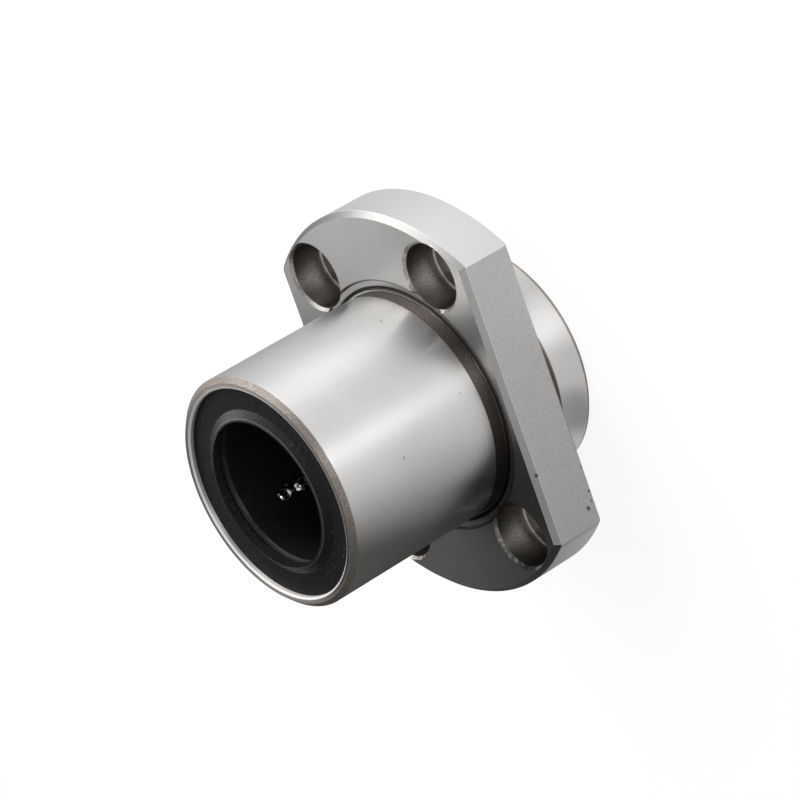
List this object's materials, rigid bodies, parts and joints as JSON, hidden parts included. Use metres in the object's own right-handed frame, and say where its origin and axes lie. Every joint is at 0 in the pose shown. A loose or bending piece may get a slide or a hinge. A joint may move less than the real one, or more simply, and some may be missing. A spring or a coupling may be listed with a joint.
{
  "type": "flanged linear ball bearing",
  "caption": "Linear ball bearing: a round sleeve with a two-side-cut flange, counterbored screw holes, a locating pilot behind the flange, and a rubber seal at each end.",
  "frame": {"origin": "on the bore's axis, in the flange's mounting face", "axes": "+Z along the bore from the pilot to the long end, +X square to the flange's flats, +Y along them"},
  "size_m": [0.038, 0.054, 0.042],
  "materials": {
    "ground_steel": "ground bright outside, dull brown-grey where it is left unground",
    "flange_steel": "machined, satin plated, with brown-grey counterbores",
    "ball_steel": "mirror-polished",
    "ring_steel": "pressed, dull",
    "cage_resin": "black, matt",
    "seal_rubber": "black, half matt"
  },
  "bodies": {
    "root": {"ball_cage": "cage_resin", "loaded_ball_1_1": "ball_steel", "loaded_ball_1_2": "ball_steel", "loaded_ball_1_3": "ball_steel", "loaded_ball_1_4": "ball_steel", "loaded_ball_1_5": "ball_steel", "loaded_ball_1_6": "ball_steel", "loaded_ball_2_1": "ball_steel", "loaded_ball_2_2": "ball_steel", "loaded_ball_2_3": "ball_steel", "loaded_ball_2_4": "ball_steel", "loaded_ball_2_5": "ball_steel", "loaded_ball_2_6": "ball_steel", "loaded_ball_3_1": "ball_steel", "loaded_ball_3_2": "ball_steel", "loaded_ball_3_3": "ball_steel", "loaded_ball_3_4": "ball_steel", "loaded_ball_3_5": "ball_steel", "loaded_ball_3_6": "ball_steel", "loaded_ball_4_1": "ball_steel", "loaded_ball_4_2": "ball_steel", "loaded_ball_4_3": "ball_steel", "loaded_ball_4_4": "ball_steel", "loaded_ball_4_5": "ball_steel", "loaded_ball_4_6": "ball_steel", "loaded_ball_5_1": "ball_steel", "loaded_ball_5_2": "ball_steel", "loaded_ball_5_3": "ball_steel", "loaded_ball_5_4": "ball_steel", "loaded_ball_5_5": "ball_steel", "loaded_ball_5_6": "ball_steel", "long_end_seal": "seal_rubber", "long_end_side_ring": "ring_steel", "mounting_flange": "flange_steel", "outer_cylinder": "ground_steel", "pilot_end_seal": "seal_rubber", "pilot_end_side_ring": "ring_steel"}
  },
  "joints": []
}
